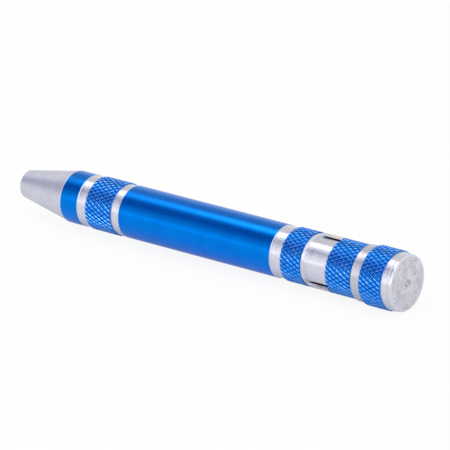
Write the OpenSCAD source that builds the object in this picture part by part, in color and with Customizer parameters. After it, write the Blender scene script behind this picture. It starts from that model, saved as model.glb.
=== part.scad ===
// Pocket screwdriver: bare nose with a hexagonal bit socket, blue knurled barrel,
// spring clip, and a screwed tail that closes a magazine of spare bits.
// The tool's axis is X, with the nose tip at the origin and the tail towards +X.

/* [Nose] */
// Length of the bare cone ahead of the barrel
nose_length = 14.3; // [11:0.1:20]
// Wall around the corners of the bit socket at the nose tip
nose_wall = 1.46; // [1.2:0.02:2]
// Rounding of the rim around the nose tip
nose_tip_round = 0.35; // [0.1:0.05:0.6]
// Length of the spigot that is pressed into the barrel
spigot_length = 8; // [5:0.5:12]
// Depth of the hexagonal bit socket
socket_depth = 9; // [7:0.5:12]
// Depth of the lead-in cone at the mouth of the socket
socket_lead = 0.4; // [0.1:0.05:0.6]
// How far the magnet reaches past the corners of the socket
magnet_lip = 0.31; // [0.15:0.01:0.6]
// Thickness of the magnet
magnet_length = 2; // [1:0.5:4]

/* [Barrel] */
// Diameter of the plain part of the barrel
barrel_d = 12; // [10:0.1:16]
// Wall of the barrel around the bore that holds the magazine
barrel_wall = 1.25; // [1.15:0.05:1.3]
// Plain length between the nose and the first bright ring
front_plain = 5; // [3:0.1:8]
// Width of the bright ring ahead of the front knurl
front_ring_a = 2.4; // [1:0.1:4]
// Length of the front knurl
front_knurl = 7.3; // [4:0.1:12]
// Width of the bright ring behind the front knurl
front_ring_b = 2.2; // [1:0.1:4]
// Width of the bright ring ahead of the rear knurl
rear_ring = 2.9; // [1:0.1:4]
// Length of the rear knurl ahead of the clip
rear_knurl_a = 5.6; // [4:0.1:9]
// Width of the turned groove that holds the clip
clip_groove = 6.5; // [6.2:0.1:9]
// Length of the rear knurl behind the clip
rear_knurl_b = 7; // [6.8:0.1:10]
// Depth of the clip groove below the plain barrel
clip_groove_depth = 0.6; // [0.55:0.05:0.75]
// Chamfer on the turned edges of the barrel
edge_break = 0.12; // [0.05:0.01:0.18]

/* [Knurl] */
// Diamonds around the barrel
knurl_count = 34; // [24:1:48]
// Diamonds around the tail grip
grip_knurl_count = 38; // [24:1:48]
// Length of one diamond along the axis
knurl_length = 1.94; // [1.4:0.02:3]
// Height of a diamond from its valley to its point
knurl_height = 0.22; // [0.18:0.02:0.32]
// How far the points stand above the plain barrel
knurl_rise = 0.12; // [0.05:0.01:0.13]
// Plain land between a knurl and a square shoulder beside it
knurl_land = 0.15; // [0.05:0.01:0.3]
// Step from the knurl's valleys down to the bright rings
ring_step = 0.07; // [0.04:0.01:0.12]

/* [Clip] */
// Thickness of the clip's spring strip
clip_t = 0.55; // [0.4:0.05:0.6]
// Angle that the clip's band wraps around the groove
clip_wrap = 220; // [200:1:260]
// Width of the clip's band along the axis
clip_band_w = 5.4; // [4.8:0.1:6.1]
// Inner radius of the clip's bends, taken at the middle of the strip
clip_bend_r = 0.7; // [0.45:0.05:0.9]
// Width of the clip's tongue
tongue_w = 6; // [4:0.1:7]
// Length of the tongue from its root to where it comes nearest the barrel
tongue_length = 32; // [20:0.5:38]
// Height of the tongue's root above the plain barrel
tongue_rise = 1.15; // [1:0.05:2.5]
// Gap left between the tongue and the barrel
tongue_gap = 0.3; // [0.1:0.05:0.9]
// Radius of the bend that turns the tongue's tip outwards
flare_r = 5; // [3:0.5:10]
// Angle of the flared tip
flare_angle = 30; // [15:1:40]
// Straight length of the flared tip
flare_length = 3.9; // [2:0.1:6]
// Radius of the corners at the tip
tip_corner = 1.5; // [0.5:0.1:1.9]
// How far the clip hangs below the level of the axis, as an angle
clip_droop = 26.8; // [0:0.1:60]

/* [Tail] */
// Width of the bare collar against the barrel
collar_w = 2.3; // [1:0.1:4]
// How far the bare collar stands above the plain barrel
collar_rise = 0.35; // [0.1:0.05:0.6]
// How far the points of the tail grip stand above the plain barrel
grip_rise = 0.72; // [0.65:0.01:1.5]
// Length of the knurl on the tail grip
grip_knurl = 5.8; // [4:0.1:10]
// Width of the bright ring behind the grip's knurl
grip_ring = 1.6; // [0.8:0.1:3]
// How far the tail plug's head stands above the plain barrel
head_rise = 0.36; // [0.05:0.01:0.4]
// Thickness of the tail plug's head
head_w = 1; // [0.7:0.1:2]
// Rounding of the head's edge
head_round = 0.45; // [0.1:0.05:0.6]
// Wall of the barrel around the tail plug's screwed stem
stem_wall = 1; // [0.95:0.01:1.1]
// Length of the stem that screws into the barrel
stem_length = 6; // [4:0.1:6.1]
// Section diameter of the seal ring on the stem
seal_d = 1.1; // [0.8:0.05:1.3]

/* [Magazine] */
// Width across the flats of the bits' hexagonal shanks, as a share of the barrel's diameter
bit_share = 0.25; // [0.23:0.005:0.255]
// Length of a bit
bit_length = 28; // [22:0.5:34]
// Length of a bit's hexagonal shank
shank_length = 13; // [8:0.5:16]
// Diameter of the circle on which the bits stand, as a share of the barrel's diameter
circle_share = 0.46; // [0.45:0.005:0.47]
// Thickness of the rack's end walls and of the wall between its two rows
rack_web = 1.2; // [0.8:0.1:2]
// Free bore between the rack and the nose spigot
magazine_spare = 7.5; // [1:0.1:20]

/* [Clearances] */
// Radial gap of a pressed seat
press_gap = 0.01; // [0.01:0.01:0.03]
// Radial gap of a turning or sliding fit
running_gap = 0.05; // [0.03:0.01:0.08]
// Gap between flat faces that rest on one another
seat_gap = 0.05; // [0.02:0.01:0.1]
// Gap around a bit in its pocket and in the socket
bit_gap = 0.1; // [0.05:0.01:0.12]
// Gap between the rack and the bore
rack_gap = 0.3; // [0.2:0.05:0.35]
// Gap between the clip's band and the floor of its groove
clip_gap = 0.18; // [0.05:0.01:0.2]
// Gap between the clip's band and the rear wall of its groove
band_gap = 0.1; // [0.05:0.01:0.15]
// Relief behind the end of the screwed stem
stem_relief = 0.4; // [0.2:0.05:0.6]

/* [Hidden] */
$fn = 96;

// Straight pieces in a drawn bend, and how far a cut runs past what it cuts
ARC_STEPS = 8;
BEND_STEPS = 12;
OVERCUT = 1;

// Half a bit's hexagon spans this angle, from the middle of a flat to a corner
HALF_FLAT = 30;

function corner_radius(af) = af / 2 / cos(HALF_FLAT);

// Bits: their shank, and their tips as shares of the shank's width across the flats
bit_af = bit_share * barrel_d;
bit_corner_r = corner_radius(bit_af);
TIP_SHARES = [1 / 2, 2 / 3, 4 / 5, 14 / 15];

// Flat blades: thickness and ground length as shares of the blade's width
BLADE_SHARE = 1 / 6;
GRIND_SHARE = 2.5;

// Cross points: cone and flutes, with lengths as shares of the tip's diameter
POINT_ANGLE = 26.5;
POINT_SHARE = 1 / 8;
FLUTES = 4;
FLUTE_ANGLE = 7;
FLUTE_SHARE = 3;
WING_SHARE = 1 / 7;

// Radii
barrel_r = barrel_d / 2;
bore_r = barrel_r - barrel_wall;
socket_corner_r = corner_radius(bit_af + bit_gap);
nose_tip_r = socket_corner_r + nose_wall;
magnet_r = socket_corner_r + magnet_lip;
crest_r = barrel_r + knurl_rise;
ring_r = crest_r - knurl_height - ring_step;
groove_r = barrel_r - clip_groove_depth;
collar_r = barrel_r + collar_rise;
grip_r = barrel_r + grip_rise;
grip_ring_r = grip_r - knurl_height - ring_step;
head_r = barrel_r + head_rise;
stem_bore_r = barrel_r - stem_wall;
stem_r = stem_bore_r - running_gap;

// Magazine: a row of flat blades in front and a row of cross points behind
FRONT = 0;
BACK = 1;
ROWS = 2;
BITS_IN_ROW = len(TIP_SHARES);
pocket_length = bit_length + 2 * bit_gap;
rack_r = bore_r - rack_gap;
rack_length = ROWS * pocket_length + (ROWS + 1) * rack_web;
bit_circle_r = circle_share * barrel_r;

// Chamfer of a square shoulder beside a knurl, which leaves a little of the land there
LIP_SHARE = 0.8;
lip = min(edge_break, LIP_SHARE * knurl_land);

// Places along the axis
barrel_length = spigot_length + magazine_spare + rack_length + seat_gap + stem_length;
barrel_front = nose_length;
barrel_end = barrel_front + barrel_length;
front_ring_x = barrel_front + front_plain;
front_knurl_x = front_ring_x + front_ring_a;
front_ring_b_x = front_knurl_x + front_knurl;
middle_x = front_ring_b_x + front_ring_b;
groove_end = barrel_end - rear_knurl_b;
groove_x = groove_end - clip_groove;
rear_knurl_x = groove_x - rear_knurl_a;
rear_ring_x = rear_knurl_x - rear_ring;
stem_x = barrel_end - stem_length;
rack_x = stem_x - seat_gap - rack_length;
collar_x = barrel_end + seat_gap;
grip_x = collar_x + collar_w + seat_gap;
grip_ring_x = grip_x + grip_knurl;
head_x = grip_ring_x + grip_ring;
tail_x = head_x + head_w;

// Clip: the band sits against the rear wall of its groove, and the riser clears the front wall
band_inner_r = groove_r + clip_gap;
band_mid_r = band_inner_r + clip_t / 2;
band_end = groove_end - band_gap;
band_x = band_end - clip_band_w;
riser_x = groove_x + tongue_gap + clip_t / 2;
tongue_r = barrel_r + tongue_rise + clip_t / 2;
tongue_x = riser_x - clip_bend_r;

// Seal ring: it fills a groove in the stem just inside the mouth of the barrel
seal_r = stem_bore_r - running_gap - seal_d / 2;
seal_x = collar_x - seat_gap - seal_d;
seal_groove_r = seal_r - seal_d / 2 - running_gap;
seal_side_gap = 2 * running_gap;
seal_groove_w = seal_d + 2 * seal_side_gap;

BLUE = "royalblue";
BARE = "lightgray";
STEEL = "silver";
PLASTIC = "dimgray";
RUBBER = "black";

// Turned solid from a list of [place along the axis, radius]
module turned(profile) {
    rotate([0, 90, 0])
        rotate_extrude()
            polygon([for (p = profile) [p[1], p[0]]]);
}

// Round bar along the axis
module bar(x, length, r) {
    translate([x, 0, 0])
        rotate([0, 90, 0])
            cylinder(h = length, r = r);
}

// Hexagonal bar along the axis, with a flat facing up
module hex_bar(x, length, af) {
    translate([x, 0, 0])
        rotate([0, 90, 0])
            rotate([0, 0, HALF_FLAT])
                cylinder(h = length, r = corner_radius(af), $fn = 6);
}

// Points of an arc as [along, out]
function arc(centre, r, from, to, steps = ARC_STEPS) = [
    for (i = [0 : steps])
        let (a = from + (to - from) * i / steps)
        [centre[0] + r * cos(a), centre[1] + r * sin(a)]
];

function reversed(list) = [for (i = [len(list) - 1 : -1 : 0]) list[i]];

// Knurl: two crossing sets of V grooves leave four-sided pyramids. On a grid of half
// diamonds, points and valley crossings alternate like the squares of a chessboard.
function knurl_rows(length) = max(2, round(2 * length / knurl_length));

function knurl_radius(column, row, root, crest) = (column + row) % 2 == 0 ? root : crest;

function knurl_points(x, length, count, root, crest, inner) =
    let (rows = knurl_rows(length), columns = 2 * count)
    concat(
        [
            for (row = [0 : rows])
                for (column = [0 : columns - 1])
                    let (a = 360 * column / columns)
                    let (r = knurl_radius(column, row, root, crest))
                    [x + length * row / rows, r * cos(a), r * sin(a)]
        ],
        [
            for (end = [0, 1])
                for (column = [0 : columns - 1])
                    let (a = 360 * column / columns)
                    [x + length * end, inner * cos(a), inner * sin(a)]
        ]
    );

// Each cell is folded along the valley that crosses it
function knurl_cell(a, b, c, d, even) = even ? [[a, d, b], [a, c, d]] : [[a, c, b], [b, c, d]];

function knurl_faces(length, count) =
    let (rows = knurl_rows(length), columns = 2 * count, bore = (rows + 1) * columns)
    concat(
        [
            for (row = [0 : rows - 1])
                for (column = [0 : columns - 1])
                    let (next = (column + 1) % columns)
                    let (a = row * columns + column, b = row * columns + next)
                    for (face = knurl_cell(a, b, a + columns, b + columns, (row + column) % 2 == 0))
                        face
        ],
        [
            for (column = [0 : columns - 1])
                let (next = (column + 1) % columns)
                [column, next, bore + next, bore + column]
        ],
        [
            for (column = [0 : columns - 1])
                let (next = (column + 1) % columns)
                let (outer = rows * columns, inner = bore + columns)
                [outer + next, outer + column, inner + column, inner + next]
        ],
        [
            for (column = [0 : columns - 1])
                let (next = (column + 1) % columns)
                [bore + column, bore + next, bore + columns + next, bore + columns + column]
        ]
    );

// Knurled ring whose root is sunk into the turned body under it
module knurl(x, length, count, crest) {
    root = crest - knurl_height;
    inner = root - knurl_height;
    polyhedron(
        points = knurl_points(x, length, count, root, crest, inner),
        faces = knurl_faces(length, count),
        convexity = 4
    );
}

module nose_cone() {
    spigot_r = bore_r - press_gap;
    spigot_end = nose_length + spigot_length;
    base_r = barrel_r - edge_break;
    tip_centre = [nose_tip_round, nose_tip_r - nose_tip_round];
    color(BARE)
        difference() {
            turned(concat(
                [[0, 0]],
                arc(tip_centre, nose_tip_round, 180, 90),
                [
                    [nose_length, base_r],
                    [nose_length, spigot_r],
                    [spigot_end - edge_break, spigot_r],
                    [spigot_end, spigot_r - edge_break],
                    [spigot_end, 0]
                ]
            ));
            hex_bar(-OVERCUT, socket_depth + OVERCUT, bit_af + bit_gap);
            lead_r = socket_corner_r + socket_lead;
            turned([[-socket_lead, 0], [-socket_lead, lead_r + socket_lead], [lead_r, 0]]);
            bar(socket_depth, spigot_end, magnet_r);
        }
}

module socket_magnet() {
    color(STEEL)
        bar(socket_depth, magnet_length, magnet_r - press_gap);
}

module barrel() {
    color(BLUE)
        union() {
            turned([
                [barrel_front, bore_r],
                [barrel_front, barrel_r - edge_break],
                [barrel_front + edge_break, barrel_r],
                [front_ring_x - edge_break, barrel_r],
                [front_ring_x, barrel_r - edge_break],
                [front_ring_x, ring_r],
                [middle_x, ring_r],
                [middle_x, barrel_r - edge_break],
                [middle_x + edge_break, barrel_r],
                [rear_ring_x - edge_break, barrel_r],
                [rear_ring_x, barrel_r - edge_break],
                [rear_ring_x, ring_r],
                [groove_x - lip, ring_r],
                [groove_x, ring_r - lip],
                [groove_x, groove_r],
                [groove_end, groove_r],
                [groove_end, ring_r - lip],
                [groove_end + lip, ring_r],
                [barrel_end - lip, ring_r],
                [barrel_end, ring_r - lip],
                [barrel_end, stem_bore_r],
                [stem_x - stem_relief, stem_bore_r],
                [stem_x - stem_relief, bore_r]
            ]);
            knurl(front_knurl_x, front_knurl, knurl_count, crest_r);
            knurl(rear_knurl_x, rear_knurl_a - knurl_land, knurl_count, crest_r);
            knurl(groove_end + knurl_land, rear_knurl_b - 2 * knurl_land, knurl_count, crest_r);
        }
}

// Places a shape drawn with its outward direction along +Y on the clip's side of the barrel
module on_clip_side() {
    rotate([-clip_droop, 0, 0])
        children();
}

module clip_band() {
    translate([band_x, 0, 0])
        rotate([0, 90, 0])
            rotate([0, 0, 90 - clip_wrap / 2])
                rotate_extrude(angle = clip_wrap)
                    translate([band_inner_r, 0])
                        square([clip_t, clip_band_w]);
}

// Strip that climbs out of the groove and turns forward over the knurl
module clip_riser() {
    foot_x = riser_x + clip_bend_r;
    foot = [foot_x, band_mid_r + clip_bend_r];
    shoulder = [tongue_x, tongue_r - clip_bend_r];
    tight = clip_bend_r - clip_t / 2;
    wide = clip_bend_r + clip_t / 2;
    heel_x = foot_x + clip_bend_r;
    difference() {
        linear_extrude(height = tongue_w, center = true)
            polygon(concat(
                [[heel_x, 0]],
                [[riser_x - clip_t / 2, 0]],
                arc(shoulder, tight, 0, 90),
                reversed(arc(shoulder, wide, 0, 90)),
                reversed(arc(foot, tight, 270, 180)),
                [[heel_x, band_mid_r + clip_t / 2]]
            ));
        bar(groove_x - OVERCUT, clip_groove + 2 * OVERCUT, band_inner_r);
    }
}

module pocket_clip() {
    color(STEEL)
        on_clip_side()
            union() {
                clip_band();
                clip_riser();
            }
}

// Outline of the tongue seen square on, with round corners at the tip
module tongue_plan(x, length) {
    translate([x + tip_corner, -tongue_w / 2])
        square([length - tip_corner + OVERCUT, tongue_w]);
    translate([x, tip_corner - tongue_w / 2])
        square([2 * tip_corner, tongue_w - 2 * tip_corner]);
    for (side = [-1, 1])
        translate([x + tip_corner, side * (tongue_w / 2 - tip_corner)])
            circle(r = tip_corner);
}

module clip_tongue() {
    nearest = [tongue_x - tongue_length, barrel_r + tongue_gap + clip_t / 2];
    bend = [nearest[0], nearest[1] + flare_r];
    // The straight part is tangent to the bend near the tip
    drop = bend[1] - tongue_r;
    reach = sqrt(tongue_length * tongue_length + drop * drop);
    slope = asin(flare_r / reach) - atan2(drop, tongue_length);
    from = 270 + slope;
    to = 270 - flare_angle;
    along = flare_length * [-cos(flare_angle), sin(flare_angle)];
    under = arc(bend, flare_r + clip_t / 2, from, to, BEND_STEPS);
    over = arc(bend, flare_r - clip_t / 2, from, to, BEND_STEPS);
    under_tip = under[len(under) - 1] + along;
    over_tip = over[len(over) - 1] + along;
    tip_x = under_tip[0];
    color(STEEL)
        on_clip_side()
            intersection() {
                linear_extrude(height = tongue_w, center = true)
                    polygon(concat(
                        [[tongue_x, tongue_r - clip_t / 2]],
                        under,
                        [under_tip, over_tip],
                        reversed(over),
                        [[tongue_x, tongue_r + clip_t / 2]]
                    ));
                rotate([-90, 0, 0])
                    linear_extrude(height = 2 * barrel_d)
                        tongue_plan(tip_x, tongue_x - tip_x);
            }
}

// Diameter or width of a bit's tip, by its turn around the axis
function tip_size(turn) = TIP_SHARES[turn] * bit_af;

// Place of a bit's shank end, by its row
function bit_x(row) = rack_x + rack_web + bit_gap + row * (pocket_length + rack_web);

module at_bit(row, turn) {
    translate([bit_x(row), 0, 0])
        rotate([360 * turn / BITS_IN_ROW, 0, 0])
            translate([0, 0, bit_circle_r])
                children();
}

// Channel for one bit: hexagonal at the bottom and open outwards
module bit_pocket() {
    af = bit_af + 2 * bit_gap;
    width = 2 * corner_radius(af);
    hex_bar(-bit_gap, pocket_length, af);
    translate([-bit_gap, -width / 2, 0])
        cube([pocket_length, width, bore_r]);
}

module bit_rack() {
    color(PLASTIC)
        difference() {
            bar(rack_x, rack_length, rack_r);
            for (row = [0 : ROWS - 1])
                for (turn = [0 : BITS_IN_ROW - 1])
                    at_bit(row, turn)
                        bit_pocket();
        }
}

// Hexagonal shank with chamfered corners, drawn down to a round neck of the tip's size.
// The shank's end is at 0 and the tip points to +X.
module bit_blank(size, end_x) {
    bevel = bit_corner_r - bit_af / 2;
    neck_x = shank_length + bit_af / 2;
    root_r = max(size / 2, bit_af / 2 - bevel);
    intersection() {
        hex_bar(0, shank_length, bit_af);
        turned([
            [0, 0],
            [0, bit_corner_r - bevel],
            [bevel, bit_corner_r],
            [shank_length - bevel, bit_corner_r],
            [shank_length, bit_corner_r - bevel],
            [shank_length, 0]
        ]);
    }
    turned([
        [shank_length - bevel, 0],
        [shank_length - bevel, root_r],
        [shank_length, root_r],
        [neck_x, size / 2],
        [end_x, size / 2],
        [end_x, 0]
    ]);
}

// Flat blade, ground to a wedge from both sides
module slot_bit(turn) {
    size = tip_size(turn);
    blade_t = BLADE_SHARE * size;
    grind_x = bit_length - GRIND_SHARE * size;
    color(STEEL)
        at_bit(FRONT, turn)
            difference() {
                bit_blank(size, bit_length);
                for (side = [0, 1])
                    mirror([0, 0, side])
                        rotate([90, 0, 0])
                            linear_extrude(height = 2 * size, center = true)
                                polygon([
                                    [grind_x, size / 2],
                                    [grind_x, size],
                                    [bit_length + OVERCUT, size],
                                    [bit_length + OVERCUT, blade_t / 2],
                                    [bit_length - size / 2, blade_t / 2]
                                ]);
            }
}

// Cross point: a blunt cone with four V flutes
module cross_bit(turn) {
    size = tip_size(turn);
    point_r = POINT_SHARE * size;
    cone_length = (size / 2 - point_r) / tan(POINT_ANGLE);
    flute_length = FLUTE_SHARE * size;
    color(STEEL)
        at_bit(BACK, turn)
            difference() {
                union() {
                    bit_blank(size, bit_length - cone_length);
                    turned([
                        [bit_length - cone_length, 0],
                        [bit_length - cone_length, size / 2],
                        [bit_length, point_r],
                        [bit_length, 0]
                    ]);
                }
                for (flute = [0 : FLUTES - 1])
                    rotate([360 * (flute + 0.5) / FLUTES, 0, 0])
                        translate([bit_length, 0, WING_SHARE * size])
                            rotate([0, FLUTE_ANGLE, 0])
                                rotate([45, 0, 0])
                                    translate([-flute_length, 0, 0])
                                        cube([2 * flute_length, size, size]);
            }
}

// Loose collar that takes the thrust between the barrel and the grip
module tail_collar() {
    inner_r = stem_r + running_gap;
    color(BARE)
        turned([
            [collar_x, inner_r],
            [collar_x, collar_r - edge_break],
            [collar_x + edge_break, collar_r],
            [collar_x + collar_w - edge_break, collar_r],
            [collar_x + collar_w, collar_r - edge_break],
            [collar_x + collar_w, inner_r]
        ]);
}

module seal_ring() {
    color(RUBBER)
        translate([seal_x, 0, 0])
            rotate([0, 90, 0])
                rotate_extrude()
                    translate([seal_r, 0])
                        circle(d = seal_d);
}

// Bolt-like plug: a screwed stem, and a head that holds the grip on
module tail_plug() {
    edge = [tail_x - head_round, head_r - head_round];
    color(BARE)
        turned(concat(
            [
                [stem_x, 0],
                [stem_x, stem_r - edge_break],
                [stem_x + edge_break, stem_r],
                [seal_x - seal_groove_w / 2, stem_r],
                [seal_x - seal_groove_w / 2, seal_groove_r],
                [seal_x + seal_groove_w / 2, seal_groove_r],
                [seal_x + seal_groove_w / 2, stem_r],
                [head_x, stem_r],
                [head_x, head_r - edge_break],
                [head_x + edge_break, head_r]
            ],
            reversed(arc(edge, head_round, 0, 90)),
            [[tail_x, 0]]
        ));
}

module tail_grip() {
    inner_r = stem_r + press_gap;
    color(BLUE)
        union() {
            turned([
                [grip_x, inner_r],
                [grip_x, grip_ring_r - lip],
                [grip_x + lip, grip_ring_r],
                [head_x - edge_break, grip_ring_r],
                [head_x, grip_ring_r - edge_break],
                [head_x, inner_r]
            ]);
            knurl(grip_x + knurl_land, grip_knurl - knurl_land, grip_knurl_count, grip_r);
        }
}

nose_cone();
socket_magnet();
barrel();
pocket_clip();
clip_tongue();
bit_rack();
slot_bit(0);  // bit_slot_15
slot_bit(1);  // bit_slot_20
slot_bit(2);  // bit_slot_24
slot_bit(3);  // bit_slot_28
cross_bit(0);  // bit_cross_15
cross_bit(1);  // bit_cross_20
cross_bit(2);  // bit_cross_24
cross_bit(3);  // bit_cross_28
tail_collar();
seal_ring();
tail_plug();
tail_grip();
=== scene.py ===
import math

import bpy
import numpy as np
from mathutils import Euler, Matrix, Vector


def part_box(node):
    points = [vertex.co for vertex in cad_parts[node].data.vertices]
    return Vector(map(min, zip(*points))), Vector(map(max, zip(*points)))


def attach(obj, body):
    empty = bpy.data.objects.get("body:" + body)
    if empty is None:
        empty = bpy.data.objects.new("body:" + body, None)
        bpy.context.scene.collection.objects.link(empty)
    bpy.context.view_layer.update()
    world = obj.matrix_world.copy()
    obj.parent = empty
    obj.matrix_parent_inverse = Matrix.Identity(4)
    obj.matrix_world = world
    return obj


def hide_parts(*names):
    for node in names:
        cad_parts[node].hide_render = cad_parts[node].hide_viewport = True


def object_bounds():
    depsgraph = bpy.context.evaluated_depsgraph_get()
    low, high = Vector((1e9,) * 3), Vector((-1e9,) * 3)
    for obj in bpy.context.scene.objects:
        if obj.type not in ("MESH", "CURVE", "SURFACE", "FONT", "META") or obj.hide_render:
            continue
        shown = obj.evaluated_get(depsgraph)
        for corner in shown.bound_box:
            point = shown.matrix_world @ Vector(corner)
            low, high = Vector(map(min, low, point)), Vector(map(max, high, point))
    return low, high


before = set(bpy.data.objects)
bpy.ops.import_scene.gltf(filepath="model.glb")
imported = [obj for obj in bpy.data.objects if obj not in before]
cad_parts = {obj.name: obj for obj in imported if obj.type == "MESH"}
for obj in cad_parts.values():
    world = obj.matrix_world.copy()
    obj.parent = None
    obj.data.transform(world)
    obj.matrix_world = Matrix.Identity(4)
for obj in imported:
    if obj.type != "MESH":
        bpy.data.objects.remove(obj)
CAD_LOW, CAD_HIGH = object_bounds()
MM = 0.001
scene = bpy.context.scene


def span(node):
    """Ends of a solid along the axis, in millimetres from the nose tip."""
    low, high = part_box(node)
    return round(low.x / MM, 3), round(high.x / MM, 3)


def reach(node):
    """Largest radius of a turned solid, in millimetres."""
    return round(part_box(node)[1].z / MM, 3)


# Ends of the solids along the axis
SEAM_X, BARREL_END = span("barrel")
STEM_X, TAIL_X = span("tail_plug")
COLLAR_X, COLLAR_END = span("tail_collar")
GRIP_X, HEAD_X = span("tail_grip")
SPIGOT_END = span("nose_cone")[1]

# Places on the solids, in millimetres from the nose tip, where a ring, a knurl, a groove
# or a thread starts or ends
RING_A_X = 19.3
KNURL_A_X = 21.7
RING_B_X = 29.0
MIDDLE_X = 31.2
RING_C_X = 73.85
KNURL_B_X = 76.75
GROOVE_X = 82.35
GROOVE_END = 88.85
BARREL_THREAD_FRONT = 89.6
BARREL_THREAD_REAR = 93.9
STEM_THREAD_REAR = 93.8
SEAL_FRONT = 94.1
SEAL_REAR = 95.4
GRIP_RING_X = 104.05

# Radii in millimetres
CREST_R = reach("barrel")
COLLAR_R = reach("tail_collar")
GRIP_CREST_R = reach("tail_grip")
HEAD_R = reach("tail_plug")
PLAIN_R = 6.0
RING_R = 5.83
GROOVE_R = 5.4
BORE_R = 4.75
STEM_BORE_R = 5.0
STEM_R = 4.95
SEAL_GROOVE_R = 3.8
GRIP_RING_R = 6.43
GRIP_BORE_R = 4.96

# Edges in millimetres: the chamfer, and rows beside a corner that soften it and keep its faces straight
EDGE = 0.12
SOFT = 0.02
BESIDE = 0.03
INSET = 0.3

# Tool marks: pitch and depth in millimetres, and the section of one mark as shares of both
TIP_MARKS = (0.12, 0.004)
CONE_MARKS = (0.3, 0.003)
RING_MARKS = (0.14, 0.006)
GROOVE_MARKS = (0.16, 0.007)
COLLAR_MARKS = (0.2, 0.004)
FACE_MARKS = (0.17, 0.005)
MARK_SECTION = ((0.0, 0.0), (0.4, 0.75), (0.65, 1.0), (0.88, 0.3))

# Knurls: sizes in millimetres, diamonds around, and how far the rings run on under a knurl
KNURL_HEIGHT = 0.22
KNURL_PITCH = 1.94
KNURL_LAND = 0.15
KNURL_OVERLAP = 0.1
BARREL_POINTS = 34
GRIP_POINTS = 38

# Columns of a turned mesh, and the angles in degrees above which an edge stays sharp
COLUMNS = 144
TURNED_SHARP = 32
KNURL_SHARP = 16

# Material slots of the turned pieces: outer skin, fresh cuts, and a third finish, which is inside the
# barrel or on the plug's end face
SKIN, CUT, INNER, FACE = 0, 1, 2, 2


# Meshes

def shaped(name, points, faces, sharp, slots=None, heights=None):
    """Smooth mesh object, in millimetres, with edges above an angle kept sharp."""
    mesh = bpy.data.meshes.new(name)
    mesh.from_pydata((np.array(points) * MM).tolist(), [], faces)
    if slots is not None:
        mesh.polygons.foreach_set("material_index", slots)
    mesh.shade_smooth()
    mesh.set_sharp_from_angle(angle=math.radians(sharp))
    if heights is not None:
        layer = mesh.attributes.new("height", "FLOAT", "POINT")
        layer.data.foreach_set("value", heights)
    mesh.update()
    piece = bpy.data.objects.new(name, mesh)
    scene.collection.objects.link(piece)
    return piece


def turned(name, rows):
    """Closed mesh of rings round the X axis. A row is (x, r, slot) in millimetres: x and r are
    numbers or one value per column, slot is the material of the band that follows it. A first
    or last row of radius 0 is a pole; without poles the last row joins the first."""
    turn = np.arange(COLUMNS) * 2 * math.pi / COLUMNS
    points, starts, poles = [], [], []
    total = 0
    for x, r, _ in rows:
        pole = np.isscalar(r) and r == 0
        ring = np.zeros((1 if pole else COLUMNS, 3))
        ring[:, 0] = x
        if not pole:
            ring[:, 1] = r * np.cos(turn)
            ring[:, 2] = r * np.sin(turn)
        points.append(ring)
        starts.append(total)
        poles.append(pole)
        total += len(ring)
    pairs = [(i, i + 1) for i in range(len(rows) - 1)]
    if not any(poles):
        pairs.append((len(rows) - 1, 0))
    here = np.arange(COLUMNS)
    after = (here + 1) % COLUMNS
    faces, slots = [], []
    for i, j in pairs:
        a, b = starts[i], starts[j]
        if poles[i]:
            band = np.stack([np.full(COLUMNS, a), b + after, b + here], 1)
        elif poles[j]:
            band = np.stack([a + here, a + after, np.full(COLUMNS, b)], 1)
        else:
            band = np.stack([a + here, a + after, b + after, b + here], 1)
        faces.extend(band.tolist())
        slots.extend([rows[i][2]] * COLUMNS)
    return shaped(name, np.concatenate(points), faces, TURNED_SHARP, slots)


def arc_rows(x, r, radius, start, end, slot, steps=8):
    """Rows along an arc about (x, r), with its angle from the +X direction in degrees."""
    angles = np.radians(np.linspace(start, end, steps + 1))
    return [(x + radius * math.cos(a), r + radius * math.sin(a), slot) for a in angles]


def lathe_rows(x0, x1, r0, r1, marks, slot):
    """Rows of fine tool marks, of uneven depth, along a cylinder, cone or face that runs from
    (x0, r0) to (x1, r1)."""
    pitch, depth = marks
    length = math.hypot(x1 - x0, r1 - r0)
    along = np.array([(x1 - x0) / length, (r1 - r0) / length])
    inward = np.array([along[1], -along[0]])
    count = max(1, round(length / pitch))
    rows = []
    for i in range(count):
        cut = depth * (0.55 + 0.45 * math.sin(2.3 * i + 1.7 * math.sin(0.9 * i)))
        for share, drop in MARK_SECTION:
            at = (i + share) / count * length
            p = np.array([x0, r0]) + at * along + cut * drop * inward
            rows.append((p[0], p[1], slot))
    rows.append((x1, r1, slot))
    return rows


# Sections of the two sets of knurl grooves, from the groove's middle to the crowned top: place and rise.
# The set that falls towards the tail is cut to the full depth.
DEEP = ((0, 0), (0.02, 0.02), (0.2, 0.82), (0.3, 0.93), (0.44, 1))
SHALLOW = ((0, 0.15), (0.14, 0.82), (0.24, 0.93), (0.4, 1))

# Corners of knurl faces count as one point where they agree to one step in half a pitch, and as
# lying on an end wall where they are within NEAR of it
CORNER_STEPS = 1000
NEAR_DIGITS = 6
NEAR = 1e-6


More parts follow.
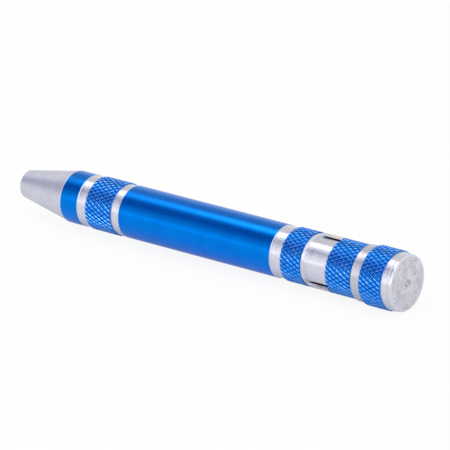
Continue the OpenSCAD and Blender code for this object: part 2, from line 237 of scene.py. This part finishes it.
def knurl(name, x0, length, count, crest):
    """Ring of diamonds between two crossing sets of grooves, sunk into the core and cut square
    at both ends. Whole values of a and b are grooves; a + b runs around, a - b along the axis."""
    halves = max(2, round(2 * length / KNURL_PITCH))
    root = crest - KNURL_HEIGHT
    points, heights, faces, known = [], [], [], {}

    def point(corner, foot=False):
        """Number of the point at a corner, or of the foot below it."""
        around, along, rise = corner
        step = round(CORNER_STEPS * around) % (2 * CORNER_STEPS * count)
        key = (step, round(CORNER_STEPS * along), foot)
        if key not in known:
            known[key] = len(points)
            turn = math.pi * around / count
            r = root - KNURL_HEIGHT if foot else root + KNURL_HEIGHT * rise
            points.append((x0 + length * along / halves, r * math.cos(turn), r * math.sin(turn)))
            heights.append(0.0 if foot else rise)
        return known[key]

    def clipped(corners, limit, side):
        """Part of a face before (side 1) or beyond (side -1) a limit along the axis."""
        kept = []
        for p, q in zip(corners, corners[1:] + corners[:1]):
            inside = side * (p[1] - limit) <= 0
            if inside:
                kept.append(p)
            if inside != (side * (q[1] - limit) <= 0):
                kept.append(p + (q - p) * (limit - p[1]) / (q[1] - p[1]))
        return kept

    def section(cuts):
        """Section over a whole diamond, from one groove's middle to the next."""
        return [*cuts, *((1 - t, rise) for t, rise in reversed(cuts))]

    def diamond(i, j):
        """Corners of the diamond between grooves i and i + 1 of one set and j and j + 1 of the other."""
        return [
            [np.array((i + j + s + t, i - j + s - t, min(up, over))) for t, over in section(DEEP)]
            for s, up in section(SHALLOW)
        ]

    def add(corners):
        """Adds a face within the ends and, where it meets one, the end wall below it."""
        face = clipped(clipped(corners, 0, -1), halves, 1)
        numbers = list(dict.fromkeys(point(corner) for corner in face))
        if len(numbers) > 2:
            faces.append(numbers)
        for limit in (0, halves):
            rim = {tuple(c.round(NEAR_DIGITS)) for c in face if abs(c[1] - limit) < NEAR}
            if len(rim) == 2:
                p, q = sorted(rim, reverse=limit > 0)
                faces.append([point(p), point(p, True), point(q, True), point(q)])

    def feet(limit):
        """Foot points of the end wall at a limit, in order around."""
        wall = (CORNER_STEPS * limit, True)
        return [known[key] for key in sorted(known) if key[1:] == wall]

    for m in range(halves + 1):
        for around in range(m % 2, 2 * count, 2):
            grid = diamond((around + m) // 2, (around - m) // 2)
            for row, after in zip(grid, grid[1:]):
                for k in range(len(row) - 1):
                    add([row[k], row[k + 1], after[k + 1], after[k]])
    front, rear = feet(0), feet(halves)
    for k in range(len(front)):
        faces.append([front[k], front[k - 1], rear[k - 1], rear[k]])
    return shaped(name, points, faces, KNURL_SHARP, heights=heights)


# Node trees. The mix node has sockets for each kind of value; these are the ones for colours.
MIX_SHARE, MIX_FIRST, MIX_SECOND, MIX_RESULT = 0, 6, 7, 2


class Tree:
    """Short names for building a node tree. A value may be a number, a colour or a socket."""

    def __init__(self, tree):
        self.tree = tree

    def node(self, kind, **values):
        """New node with some of its values set."""
        made = self.tree.nodes.new(kind)
        for key, value in values.items():
            setattr(made, key, value)
        return made

    def link(self, out, into):
        """Joins a socket to another."""
        self.tree.links.new(out, into)

    def put(self, value, socket):
        """Gives a socket a number or a colour, or joins it to another socket."""
        if isinstance(value, (int, float)):
            socket.default_value = value
        elif isinstance(value, tuple):
            socket.default_value = (*value, 1)
        else:
            self.link(value, socket)

    def math(self, operation, a, b=0.0):
        """Result of an operation on two values."""
        made = self.node("ShaderNodeMath", operation=operation)
        self.put(a, made.inputs[0])
        self.put(b, made.inputs[1])
        return made.outputs[0]

    def product(self, first, *others):
        """All values multiplied."""
        for other in others:
            first = self.math("MULTIPLY", first, other)
        return first

    def spread(self, value, low, high, to_low, to_high, smooth=False):
        """Value carried from one range over to another and held at its ends."""
        made = self.node("ShaderNodeMapRange")
        if smooth:
            made.interpolation_type = "SMOOTHSTEP"
        ends = {"From Min": low, "From Max": high, "To Min": to_low, "To Max": to_high}
        for key, number in ends.items():
            made.inputs[key].default_value = number
        self.link(value, made.inputs["Value"])
        return made.outputs["Result"]

    def rise(self, value, low, high, top=1):
        """Smooth step from 0 at low to the top at high."""
        return self.spread(value, low, high, 0, top, smooth=True)

    def fall(self, value, low, high, top=1):
        """Smooth step from the top at low to 0 at high."""
        return self.spread(value, low, high, top, 0, smooth=True)

    def mix(self, share, first, second):
        """Colour from the first to the second by a share."""
        made = self.node("ShaderNodeMix", data_type="RGBA")
        self.link(share, made.inputs[MIX_SHARE])
        self.put(first, made.inputs[MIX_FIRST])
        self.put(second, made.inputs[MIX_SECOND])
        return made.outputs[MIX_RESULT]

    def blend(self, share, first, second):
        """Shader from the first to the second by a share."""
        made = self.node("ShaderNodeMixShader")
        for value, socket in zip((share, first, second), made.inputs):
            self.link(value, socket)
        return made.outputs[0]

    def split(self, vector):
        """X, Y and Z of a vector."""
        made = self.node("ShaderNodeSeparateXYZ")
        self.link(vector, made.inputs[0])
        return made.outputs["X"], made.outputs["Y"], made.outputs["Z"]


class Material(Tree):
    """Node tree of a new material. Textures lie in the object's own space, in metres."""

    def __init__(self, name, **values):
        self.material = bpy.data.materials.new(name)
        self.material.use_nodes = True
        super().__init__(self.material.node_tree)
        self.shader = self.tree.nodes["Principled BSDF"]
        self.coords = self.node("ShaderNodeTexCoord")
        for key, value in values.items():
            self.shader.inputs[key.replace("_", " ")].default_value = value

    def noise(self, scale, detail=2.0, stretch=(1, 1, 1), rough=0.5):
        """Noise, drawn out along the axes whose stretch is below 1."""
        mapping = self.node("ShaderNodeMapping")
        mapping.inputs["Scale"].default_value = stretch
        self.link(self.coords.outputs["Object"], mapping.inputs["Vector"])
        made = self.node("ShaderNodeTexNoise")
        made.inputs["Scale"].default_value = scale
        made.inputs["Detail"].default_value = detail
        made.inputs["Roughness"].default_value = rough
        self.link(mapping.outputs["Vector"], made.inputs["Vector"])
        return made.outputs["Fac"]

    def vary(self, noise, low, high):
        """The usual range of a noise, carried over to low and high."""
        return self.spread(noise, 0.3, 0.7, low, high)

    def radius(self, y, z):
        """Distance of a place from the X axis."""
        return self.math("SQRT", self.math("ADD", self.product(y, y), self.product(z, z)))

    def bump(self, height, distance, strength):
        """Gives the shader fine relief, of a height in metres."""
        made = self.node("ShaderNodeBump")
        made.inputs["Strength"].default_value = strength
        made.inputs["Distance"].default_value = distance
        self.link(height, made.inputs["Height"])
        self.feed("Normal", made.outputs["Normal"])

    def feed(self, name, socket):
        """Joins a socket to one of the shader's."""
        self.link(socket, self.shader.inputs[name])


# Materials

def anodised(name, knurled=False):
    """Satin blue anodised aluminium; on a knurl the grooves are painted darker as shade, and the flanks of
    the diamonds paler as a painted highlight.
    """
    tint = (0.3, 0.34, 0.6, 1.0) if knurled else (0.95, 0.95, 1.0, 1.0)
    look = Material(name, Metallic=1.0, Specular_Tint=tint)
    cloud = look.spread(look.noise(260, 3.0), 0.35, 0.65, 0, 1)
    colour = look.mix(cloud, (0.0, 0.176, 0.69), (0.0, 0.196, 0.745))
    low, high = (0.17, 0.25) if knurled else (0.19, 0.29)
    if knurled:
        height = look.node("ShaderNodeAttribute", attribute_name="height").outputs["Fac"]
        # Painted shade: the knurl's grooves are darker blue towards their bottom.
        colour = look.mix(look.rise(height, 0.02, 0.25), (0.0, 0.14, 0.54), colour)
        # Painted highlight: the flanks are paler, in patches, standing in for the glints that light makes
        # on them.
        flank = look.product(look.rise(height, 0.25, 0.6), look.fall(height, 0.77, 0.86))
        flank_highlight = look.product(flank, look.spread(look.noise(900), 0.35, 0.65, 0.3, 1.0))
        colour = look.mix(flank_highlight, colour, (0.24, 0.46, 0.80))
    look.feed("Base Color", colour)
    look.feed("Roughness", look.vary(look.noise(4200), low, high))
    look.bump(look.noise(3000), 0.000022, 0.5)
    return look.material


def turned_bright(name, low, high, rough):
    """Bare aluminium with fine tool marks round the axis, which draw reflections out along it,
    and a few small stains."""
    look = Material(name, Metallic=1.0, Anisotropic=1.0, Anisotropic_Rotation=0.25)
    tangent = look.node("ShaderNodeTangent", direction_type="RADIAL", axis="X")
    look.feed("Tangent", tangent.outputs["Tangent"])
    broad = look.noise(4200, stretch=(1, 0.02, 0.02))
    base = look.mix(look.vary(broad, 0, 1), low, high)
    stain = look.rise(look.noise(1000, 3.0, (1, 0.5, 0.5)), 0.67, 0.76, 0.45)
    look.feed("Base Color", look.mix(stain, base, (0.34, 0.31, 0.31)))
    look.feed("Roughness", look.vary(broad, rough - 0.07, rough + 0.07))
    look.bump(look.noise(9000, stretch=(1, 0.012, 0.012)), 0.000004, 0.6)
    return look.material


def turned_dull(name):
    """Bare aluminium, dull from turning and handling, with faint clouds and small specks."""
    look = Material(name, Metallic=1.0)
    cloud = look.noise(420, 4.0, rough=0.6)
    base = look.mix(look.vary(cloud, 0, 1), (0.585, 0.59, 0.685), (0.665, 0.67, 0.76))
    speck = look.rise(look.noise(1900, 1.0), 0.68, 0.74, 0.6)
    base = look.mix(speck, base, (0.36, 0.35, 0.40))
    lines = look.noise(5200, stretch=(1, 0.03, 0.03))
    base = look.mix(look.spread(lines, 0.5, 0.75, 0, 0.4), base, (0.46, 0.46, 0.53))
    look.feed("Base Color", base)
    look.feed("Roughness", look.vary(cloud, 0.48, 0.39))
    look.bump(lines, 0.000006, 0.5)
    return look.material


def faced(name):
    """Bare end face: clouded, pitted and marked in rings by the tool that faced it off."""
    look = Material(name, Metallic=1.0)
    _, y, z = look.split(look.coords.outputs["Object"])
    radius = look.radius(y, z)
    cloud = look.noise(520, 4.0, rough=0.65)
    base = look.mix(look.spread(cloud, 0.32, 0.68, 0, 1), (0.54, 0.535, 0.60), (0.76, 0.76, 0.83))
    ring = look.node("ShaderNodeTexNoise", noise_dimensions="1D")
    look.link(look.math("ADD", radius, look.product(look.noise(300), 0.0009)), ring.inputs["W"])
    ring.inputs["Scale"].default_value = 3600
    ring.inputs["Detail"].default_value = 1.0
    worn = look.spread(look.noise(700), 0.42, 0.62, 0.05, 0.6)
    marks = look.product(look.rise(ring.outputs["Fac"], 0.5, 0.72), worn)
    ragged = look.spread(look.noise(1900, 3.0), 0.4, 0.6, 0.1, 1.0)
    centre = look.product(look.fall(radius, 0.0003, 0.0016, 0.85), ragged)
    pits = look.rise(look.noise(2600, 1.5), 0.635, 0.69, 0.8)
    glints = look.rise(look.noise(3300, 1.0), 0.66, 0.74, 0.6)
    for share, colour in (
        (marks, (0.36, 0.35, 0.40)),
        (centre, (0.22, 0.22, 0.25)),
        (pits, (0.26, 0.24, 0.26)),
        (glints, (0.86, 0.86, 0.90)),
    ):
        base = look.mix(share, base, colour)
    look.feed("Base Color", base)
    look.feed("Roughness", look.vary(cloud, 0.55, 0.42))
    look.bump(look.noise(2600, 3.0), 0.00002, 0.5)
    return look.material


def plated(name, low, high, rough, stretch):
    """Plated steel with brushed marks along one direction."""
    look = Material(name, Metallic=1.0)
    lines = look.noise(6000, stretch=stretch)
    look.feed("Base Color", look.mix(look.vary(look.noise(300, 3.0), 0, 1), low, high))
    look.feed("Roughness", look.vary(lines, rough - 0.05, rough + 0.06))
    look.bump(lines, 0.000003, 0.5)
    return look.material


def spring(name, droop):
    """Plated spring strip, with its tongue at an angle below the level of the axis. The ends of its band,
    on the side away from the tongue, are cut across. Its inner side and the lower edge of its cut ends are
    painted near black, as painted shade of the gap between the band and the groove floor."""
    look = Material(name, Metallic=1.0)
    _, y, z = look.split(look.coords.outputs["Object"])
    _, face_y, face_z = look.split(look.coords.outputs["Normal"])
    radius = look.radius(y, z)
    across = look.math("SUBTRACT", look.product(face_z, y), look.product(face_y, z))
    across = look.math("ABSOLUTE", look.math("DIVIDE", across, radius))
    away = look.math("SUBTRACT", look.product(z, math.sin(droop)), look.product(y, math.cos(droop)))
    cut = look.product(look.spread(across, 0.6, 0.8, 0, 1), look.spread(away, 0.0, 0.001, 0, 1))
    inward = look.math("ADD", look.product(face_y, y), look.product(face_z, z))
    inward = look.spread(look.math("DIVIDE", inward, radius), -0.5, -0.8, 0, 1)
    # Painted shade: the band's inner side, and the lower edge of its cut ends, are darkened nearly to black
    # as the shadow in the gap between the band and the groove floor.
    inner = look.product(inward, look.spread(radius, 0.0058, 0.0060, 1, 0))
    lower = look.product(cut, look.spread(radius, 0.00564, 0.00574, 1, 0))
    painted_gap_shade = look.math("MAXIMUM", inner, lower)
    lines = look.noise(6000, stretch=(0.03, 1, 1))
    plate = look.mix(look.vary(look.noise(300, 3.0), 0, 1), (0.60, 0.60, 0.66), (0.68, 0.68, 0.73))
    torn = look.spread(look.noise(2400), 0.5, 0.66, 0, 1)
    plate = look.mix(cut, plate, look.mix(torn, (0.80, 0.79, 0.81), (0.40, 0.36, 0.35)))
    look.feed("Base Color", look.mix(painted_gap_shade, plate, (0.012, 0.011, 0.012)))
    look.feed("Roughness", look.vary(lines, 0.22, 0.33))
    look.bump(lines, 0.000003, 0.5)
    return look.material


def moulded(name, low, high, rough, grain):
    """Moulded plastic or rubber with a fine grained skin."""
    look = Material(name)
    skin = look.noise(grain, 3.0)
    look.feed("Base Color", look.mix(look.vary(skin, 0, 1), low, high))
    look.feed("Roughness", look.vary(skin, rough - 0.07, rough + 0.07))
    look.bump(skin, 0.00001, 0.4)
    return look.material


CLIP_DROOP = math.radians(26.8)
BLUE = anodised("anodised_blue")
BLUE_KNURL = anodised("anodised_blue_knurl", knurled=True)
BRIGHT = turned_bright("bare_bright", (0.70, 0.70, 0.78), (0.77, 0.77, 0.84), 0.32)
SATIN = turned_bright("bare_satin", (0.59, 0.595, 0.67), (0.67, 0.67, 0.74), 0.37)
DULL = turned_dull("bare_dull")
FACED = faced("bare_faced")
SPRING = spring("spring_steel", CLIP_DROOP)
TOOL = plated("tool_steel", (0.50, 0.50, 0.52), (0.60, 0.60, 0.62), 0.3, (0.05, 1, 1))
MAGNET = plated("magnet_plate", (0.50, 0.50, 0.53), (0.57, 0.57, 0.60), 0.25, (1, 1, 1))
PLASTIC = moulded("rack_plastic", (0.035, 0.035, 0.04), (0.055, 0.055, 0.062), 0.5, 5000)
RUBBER = moulded("seal_rubber", (0.018, 0.018, 0.018), (0.03, 0.03, 0.03), 0.62, 7000)


def dress(piece, body, slot, materials, *nodes):
    """Gives a new piece its materials and its body, and hides the solids that it stands for."""
    for material in materials:
        piece.data.materials.append(material)
    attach(piece, body)
    if nodes:
        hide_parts(*nodes)


# Nose: a bare cone round a hexagonal socket, with a fine witness line round its middle

def hexagon(width):
    """Radius of a hexagon, by column, with corners to the sides and flats above and below."""
    turn = np.degrees(np.arange(COLUMNS) * 2 * math.pi / COLUMNS)
    return width / 2 / np.cos(np.radians(turn % 60 - 30))


SOCKET_WIDTH = 3.1
SOCKET_DEPTH = 9.0
SOCKET = hexagon(SOCKET_WIDTH)
LEAD_R = 2.19
LEAD_STEP = 0.01
TIP_R = 3.25
TIP_ROUND = 0.35
MAGNET_R = 2.1
SPIGOT_GAP = 0.01
SPIGOT_R = BORE_R - SPIGOT_GAP
WITNESS_X = 8.75
WITNESS_WIDTH = 0.4
WITNESS_DEPTH = 0.05
NOSE_MARGIN = 0.05
NOSE_RIM = 0.18
RIM_MARGIN = 0.04


def cone_r(x):
    """Radius of the nose's cone at a place along the axis."""
    return TIP_R + (PLAIN_R - EDGE - TIP_R) * (x - TIP_ROUND) / (SEAM_X - TIP_ROUND)


def cone_rows(x0, x1):
    """Rows of the nose's cone with tool marks."""
    return lathe_rows(x0, x1, cone_r(x0), cone_r(x1), CONE_MARKS, SKIN)


witness_middle = WITNESS_X + WITNESS_WIDTH / 2
witness_end = WITNESS_X + WITNESS_WIDTH
nose_rows = [(0, LEAD_R + NOSE_MARGIN, SKIN)]
nose_rows += lathe_rows(0, 0, LEAD_R + NOSE_MARGIN + LEAD_STEP, TIP_R - TIP_ROUND, TIP_MARKS, SKIN)
nose_rows += arc_rows(TIP_ROUND, TIP_R - TIP_ROUND, TIP_ROUND, 180, 90, SKIN)[1:]
nose_rows += cone_rows(TIP_ROUND + NOSE_MARGIN, WITNESS_X)
nose_rows += [
    (witness_middle, cone_r(witness_middle) - WITNESS_DEPTH, SKIN),
    (witness_end, cone_r(witness_end), SKIN),
]
nose_rows += cone_rows(witness_end + NOSE_MARGIN, SEAM_X - NOSE_RIM - RIM_MARGIN)
nose_rows += [
    (SEAM_X - NOSE_RIM, cone_r(SEAM_X - NOSE_RIM), CUT),
    (SEAM_X - BESIDE, cone_r(SEAM_X - BESIDE), CUT),
    (SEAM_X, PLAIN_R - EDGE - BESIDE, CUT),
    (SEAM_X, SPIGOT_R, SKIN),
    (SPIGOT_END - EDGE, SPIGOT_R, SKIN),
    (SPIGOT_END, SPIGOT_R - EDGE, SKIN),
    (SPIGOT_END, MAGNET_R, SKIN),
    (SOCKET_DEPTH, MAGNET_R, SKIN),
    (SOCKET_DEPTH, SOCKET, SKIN),
    (LEAD_R - SOCKET + SOFT, SOCKET, CUT),
    (LEAD_R - SOCKET - BESIDE, SOCKET + BESIDE, CUT),
]
dress(turned("nose", nose_rows), "barrel", "bare_aluminium", [DULL, BRIGHT], "nose_cone")

# Barrel: blue lengths between bare rings, the clip's groove, and a threaded bore at the tail
GROOVE_RAMP = 0.32
MOUTH_CHAMFER = 0.15
STEM_GAP = 0.4
STEM_STOP_X = STEM_X - STEM_GAP
THREAD_PITCH = 0.75
THREAD_DEPTH = 0.4
THREAD_CREST = 0.12
THREAD_FLANK = 0.76


def thread_rows(x0, x1, r, depth, slot, steps=10):
    """Rows of a right-hand thread, cut from radius r by depth, that fades out at both ends."""
    turn = np.arange(COLUMNS) / COLUMNS
    count = max(2, round(abs(x1 - x0) / THREAD_PITCH * steps))
    rows = []
    for i in range(count + 1):
        share = i / count
        x = x0 + (x1 - x0) * share
        w = x / THREAD_PITCH - turn
        wave = np.abs(2 * (w - np.floor(w + 0.5)))
        wave = np.clip((wave - THREAD_CREST) / THREAD_FLANK, 0, 1)
        fade = min(1, min(share, 1 - share) * count / steps)
        rows.append((x, r + depth * fade * wave, slot))
    return rows


def plain_rows(x0, x1, r):
    """Blue cylinder with bright chamfers. Rows a little inside its ends keep its shading straight."""
    return [
        (x0, r - EDGE, CUT),
        (x0 + EDGE - SOFT, r - SOFT, SKIN),
        (x0 + EDGE + BESIDE, r, SKIN),
        (x0 + EDGE + INSET, r, SKIN),
        (x1 - EDGE - INSET, r, SKIN),
        (x1 - EDGE - BESIDE, r, SKIN),
        (x1 - EDGE + SOFT, r - SOFT, CUT),
        (x1, r - EDGE, CUT),
    ]


def ring_rows(x0, x1, r, marks=RING_MARKS):
    """Bare cylinder with tool marks."""
    return lathe_rows(x0, x1, r, r, marks, CUT)


groove_floor = GROOVE_X + GROOVE_RAMP
barrel_rows = [(SEAM_X, BORE_R, CUT)]
barrel_rows += plain_rows(SEAM_X, RING_A_X, PLAIN_R)
barrel_rows += ring_rows(RING_A_X, KNURL_A_X + KNURL_OVERLAP, RING_R)
barrel_rows += ring_rows(RING_B_X - KNURL_OVERLAP, MIDDLE_X, RING_R)
barrel_rows += plain_rows(MIDDLE_X, RING_C_X, PLAIN_R)
barrel_rows += ring_rows(RING_C_X, KNURL_B_X + KNURL_OVERLAP, RING_R)
barrel_rows += [
    (GROOVE_X - EDGE, RING_R, CUT),
    (GROOVE_X, RING_R - EDGE, CUT),
    (groove_floor, GROOVE_R, CUT),
]
barrel_rows += ring_rows(groove_floor + SOFT, GROOVE_END, GROOVE_R, GROOVE_MARKS)
barrel_rows += [
    (GROOVE_END, RING_R - EDGE, CUT),
    (GROOVE_END + EDGE, RING_R, CUT),
    (BARREL_END - EDGE, RING_R, CUT),
    (BARREL_END, RING_R - EDGE, CUT),
    (BARREL_END, STEM_BORE_R + MOUTH_CHAMFER, CUT),
    (BARREL_END - MOUTH_CHAMFER, STEM_BORE_R, INNER),
]
barrel_rows += thread_rows(BARREL_THREAD_REAR, BARREL_THREAD_FRONT, STEM_BORE_R, THREAD_DEPTH, INNER)
barrel_rows += [
    (STEM_STOP_X, STEM_BORE_R, INNER),
    (STEM_STOP_X, BORE_R, INNER),
]
dress(turned("barrel_tube", barrel_rows), "barrel", "anodised_blue", [BLUE, BRIGHT, DULL], "barrel")

for name, x0, x1 in (
    ("knurl_front", KNURL_A_X, RING_B_X),
    ("knurl_clip", KNURL_B_X, GROOVE_X - KNURL_LAND),
    ("knurl_rear", GROOVE_END + KNURL_LAND, BARREL_END - KNURL_LAND),
):
    diamonds = knurl(name, x0, x1 - x0, BARREL_POINTS, CREST_R)
    dress(diamonds, "barrel", "anodised_blue", [BLUE_KNURL], "barrel")

# Tail: loose collar, knurled grip and the plug that holds them
collar_marks = (COLLAR_X + EDGE + RIM_MARGIN, COLLAR_END - EDGE - RIM_MARGIN)
collar_rows = [
    (COLLAR_X, STEM_BORE_R, SKIN),
    (COLLAR_X, COLLAR_R - EDGE, SKIN),
    (COLLAR_X + EDGE, COLLAR_R, SKIN),
]
collar_rows += lathe_rows(*collar_marks, COLLAR_R, COLLAR_R, COLLAR_MARKS, SKIN)
collar_rows += [
    (COLLAR_END - EDGE, COLLAR_R, SKIN),
    (COLLAR_END, COLLAR_R - EDGE, SKIN),
    (COLLAR_END, STEM_BORE_R, SKIN),
]
dress(turned("collar", collar_rows), "tail_slide", "bare_aluminium", [SATIN], "tail_collar")

grip_rows = [
    (GRIP_X, GRIP_BORE_R, CUT),
    (GRIP_X, GRIP_RING_R - EDGE, CUT),
    (GRIP_X + EDGE, GRIP_RING_R, CUT),
]
grip_rows += ring_rows(GRIP_RING_X - KNURL_OVERLAP, HEAD_X - EDGE, GRIP_RING_R)
grip_rows += [
    (HEAD_X, GRIP_RING_R - EDGE, CUT),
    (HEAD_X, GRIP_BORE_R, CUT),
]
dress(turned("grip_ring", grip_rows), "tail", "anodised_blue", [BLUE, BRIGHT], "tail_grip")
grip_length = GRIP_RING_X - GRIP_X - KNURL_LAND
diamonds = knurl("knurl_grip", GRIP_X + KNURL_LAND, grip_length, GRIP_POINTS, GRIP_CREST_R)
dress(diamonds, "tail", "anodised_blue", [BLUE_KNURL], "tail_grip")

# Plug, with the pip that facing leaves at the middle of its end: depth below the face and radius
STEM_LEAD = 0.05
HEAD_ROUND = 0.45
PIP_R = 0.3
PIP = ((0.05, 0.22), (0.07, 0.1), (0.02, 0))
plug_rows = [
    (STEM_X, 0, SKIN),
    (STEM_X, STEM_R - THREAD_DEPTH - STEM_LEAD, SKIN),
    (STEM_X + THREAD_DEPTH, STEM_R, SKIN),
]
plug_rows += thread_rows(STEM_X + THREAD_DEPTH + SOFT, STEM_THREAD_REAR, STEM_R, -THREAD_DEPTH, SKIN)
plug_rows += [
    (SEAL_FRONT, STEM_R, SKIN),
    (SEAL_FRONT, SEAL_GROOVE_R, SKIN),
    (SEAL_REAR, SEAL_GROOVE_R, SKIN),
    (SEAL_REAR, STEM_R, SKIN),
    (HEAD_X, STEM_R, SKIN),
    (HEAD_X, HEAD_R - EDGE, CUT),
    (HEAD_X + EDGE, HEAD_R, CUT),
    (TAIL_X - HEAD_ROUND - SOFT, HEAD_R, CUT),
]
plug_rows += arc_rows(TAIL_X - HEAD_ROUND, HEAD_R - HEAD_ROUND, HEAD_ROUND, 90, 0, CUT)[:-1]
plug_rows += lathe_rows(TAIL_X, TAIL_X, HEAD_R - HEAD_ROUND, PIP_R, FACE_MARKS, FACE)
plug_rows += [(TAIL_X - depth, r, FACE) for depth, r in PIP]
dress(turned("plug", plug_rows), "tail", "bare_aluminium", [DULL, BRIGHT, FACED], "tail_plug")


# Pieces whose solids are shown as they are
CLIP_EDGE = 0.08
RACK_EDGE = 0.06
BEVEL_ANGLE = math.radians(40)


def finish_node(name, material, edge=0.0):
    """Shows a solid with a material of its own and, where asked, softened edges."""
    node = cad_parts[name]
    node.data.materials.clear()
    node.data.materials.append(material)
    if edge:
        bevel = node.modifiers.new("soft_edges", "BEVEL")
        bevel.width = edge * MM
        bevel.segments = 2
        bevel.limit_method = "ANGLE"
        bevel.angle_limit = BEVEL_ANGLE
        bevel.harden_normals = False


finish_node("socket_magnet", MAGNET)
finish_node("pocket_clip", SPRING, CLIP_EDGE)
finish_node("clip_tongue", SPRING, CLIP_EDGE)
finish_node("bit_rack", PLASTIC, RACK_EDGE)
finish_node("seal_ring", RUBBER)
for kind in ("slot", "cross"):
    for size in (15, 20, 24, 28):
        finish_node(f"bit_{kind}_{size}", TOOL)


# Floor: pale paper that keeps the object's shadow. The camera sees it mostly as white, reflections partly.
FLOOR_Z = CAD_LOW.z
FLOOR_HALF = 4.0
CAMERA_SHARE = 0.9
GLOSSY_SHARE = 0.3
corners = [(x * FLOOR_HALF, y * FLOOR_HALF, FLOOR_Z) for x, y in ((-1, -1), (1, -1), (1, 1), (-1, 1))]
sheet = bpy.data.meshes.new("floor")
sheet.from_pydata(corners, [], [(0, 1, 2, 3)])
floor = bpy.data.objects.new("floor", sheet)
scene.collection.objects.link(floor)
paper = Material("floor_paper", Base_Color=(0.9, 0.9, 0.9, 1), Roughness=0.9)
paper_rays = paper.node("ShaderNodeLightPath").outputs
from_camera = paper.product(paper_rays["Is Camera Ray"], CAMERA_SHARE)
from_gloss = paper.product(paper_rays["Is Glossy Ray"], GLOSSY_SHARE)
white_share = paper.math("MAXIMUM", from_camera, from_gloss)
white = paper.node("ShaderNodeEmission").outputs[0]
paper_surface = paper.blend(white_share, paper.shader.outputs[0], white)
paper.link(paper_surface, paper.tree.nodes["Material Output"].inputs["Surface"])
floor.data.materials.append(paper.material)

# World: a white studio. Reflections see it dimmer in three places: a bluish belt in front of the top light,
# weaker as the nose sees it; the room behind the top light; and the room low in front, as the nose sees it.
# They follow the angle around the X axis, in radians from straight up towards the front, and the share
# of the direction along X.
BELT_TINT = (0.21, 0.24, 0.42)
studio = bpy.data.worlds.new("studio")
scene.world = studio
studio.use_nodes = True
room = Tree(studio.node_tree)
room.tree.nodes.clear()
room_rays = room.node("ShaderNodeLightPath").outputs
glossy = room_rays["Is Glossy Ray"]
shown = room.math("MAXIMUM", room_rays["Is Camera Ray"], glossy)
shown = room.math("MAXIMUM", shown, room_rays["Is Transmission Ray"])
along, side, up = room.split(room.node("ShaderNodeTexCoord").outputs["Generated"])
around = room.math("ARCTAN2", room.product(side, -1.0), up)
belt = room.product(
    room.rise(around, 0.09, 0.35),
    room.fall(around, 0.56, 1.42),
    room.fall(along, -0.3, -0.05),
    room.spread(along, -0.85, -0.72, 0.82, 1, smooth=True),
    glossy,
)
behind = room.product(
    room.fall(around, -0.45, -0.2),
    room.spread(around, -1.2, -0.65, 0.08, 0.4, smooth=True),
    room.rise(along, -0.8, -0.68),
    room.fall(along, -0.45, -0.3),
    glossy,
)
low_front = room.product(
    room.rise(around, 0.7, 1.0, 0.22),
    room.fall(around, 1.55, 1.75),
    room.fall(along, -0.8, -0.7),
    glossy,
)
dimming = room.math("ADD", behind, low_front)
ambient = room.node("ShaderNodeBackground")
ambient.inputs["Strength"].default_value = 1.0
backdrop = room.node("ShaderNodeBackground")
room.link(room.mix(belt, (1, 1, 1), BELT_TINT), backdrop.inputs["Color"])
room.link(room.math("SUBTRACT", 1.0, dimming), backdrop.inputs["Strength"])
room_surface = room.blend(shown, ambient.outputs[0], backdrop.outputs[0])
room.link(room_surface, room.node("ShaderNodeOutputWorld").inputs["Surface"])


# Lamps, in metres and watts. The top and fill lights are strips that run nearly along X.
BARREL_MIDDLE = (0.05, 0.0, 0.0)
STRIP_TURN = math.radians(-22)


def softbox(name, place, width, depth, watts, aim=None):
    """Area lamp that is aimed at a point or, without one, is a strip that faces straight down."""
    lamp = bpy.data.lights.new(name, "AREA")
    lamp.shape = "RECTANGLE"
    lamp.size, lamp.size_y = width, depth
    lamp.energy = watts
    made = bpy.data.objects.new(name, lamp)
    made.location = place
    if aim is None:
        made.rotation_euler.z = STRIP_TURN
    else:
        made.rotation_mode = "QUATERNION"
        made.rotation_quaternion = (Vector(aim) - Vector(place)).to_track_quat("-Z", "Y")
    scene.collection.objects.link(made)


softbox("top_softbox", (0.003, -0.031, 0.30), 0.375, 0.1, 0.19)
softbox("fill_softbox", (0.13, -0.14, 0.30), 0.3, 0.08, 0.11)
softbox("front_softbox", (-0.75, -1.0, 0.12), 1.0, 0.24, 0.22, BARREL_MIDDLE)
softbox("key_softbox", (0.09, -1.1, 0.5), 0.22, 1.08, 2.0, BARREL_MIDDLE)
softbox("side_softbox", (0.95, -0.62, 0.28), 0.5, 0.5, 0.8, BARREL_MIDDLE)

# Camera: placed and aimed as in the photograph, with its place in millimetres and its angles in degrees
CAMERA_PLACE = (603.87116, -699.59308, 317.69794)
CAMERA_TURN = 38.016155
CAMERA_DIP = 19.546233
CAMERA_AIM = Euler((math.radians(90 - CAMERA_DIP), 0, math.radians(CAMERA_TURN)))
camera = bpy.data.cameras.new("camera")
camera.sensor_width = 36
camera.lens = 341.39
camera.clip_start = 0.05
camera.clip_end = 20
view = bpy.data.objects.new("camera", camera)
view.matrix_world = Matrix.LocRotScale(Vector(CAMERA_PLACE) * MM, CAMERA_AIM, None)
scene.collection.objects.link(view)
scene.camera = view

scene.view_settings.view_transform = "Standard"
